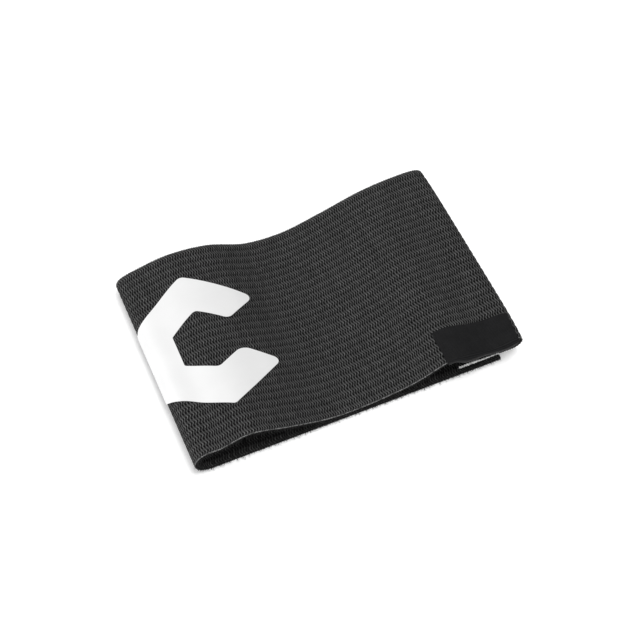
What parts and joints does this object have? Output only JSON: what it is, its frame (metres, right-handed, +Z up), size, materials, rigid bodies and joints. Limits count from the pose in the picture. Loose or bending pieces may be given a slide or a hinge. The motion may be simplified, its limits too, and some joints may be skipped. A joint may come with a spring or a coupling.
{
  "type": "captain armband",
  "caption": "Wide ribbed elastic armband with a white letter C, closed by hook-and-loop tape and lying flat as a loop.",
  "frame": {"origin": "middle of the underside, on the surface that the armband lies on", "axes": "+X along the flattened loop from the letter's fold to the label's fold, +Y across the band to its far edge, +Z up"},
  "size_m": [0.1176, 0.0764, 0.0142],
  "materials": {
    "ribbed_knit": "marled grey and black elastic rib knit, matte",
    "hook_tape": "black nylon hook tape",
    "loop_tape": "black brushed nylon loop tape",
    "white_film": "white heat-transfer film, satin",
    "woven_label": "black damask-woven label, matte"
  },
  "bodies": {
    "root": {"band": "ribbed_knit", "hook_tape": "hook_tape", "loop_tape": "loop_tape", "letter_c": "white_film", "label": "woven_label"}
  },
  "joints": []
}
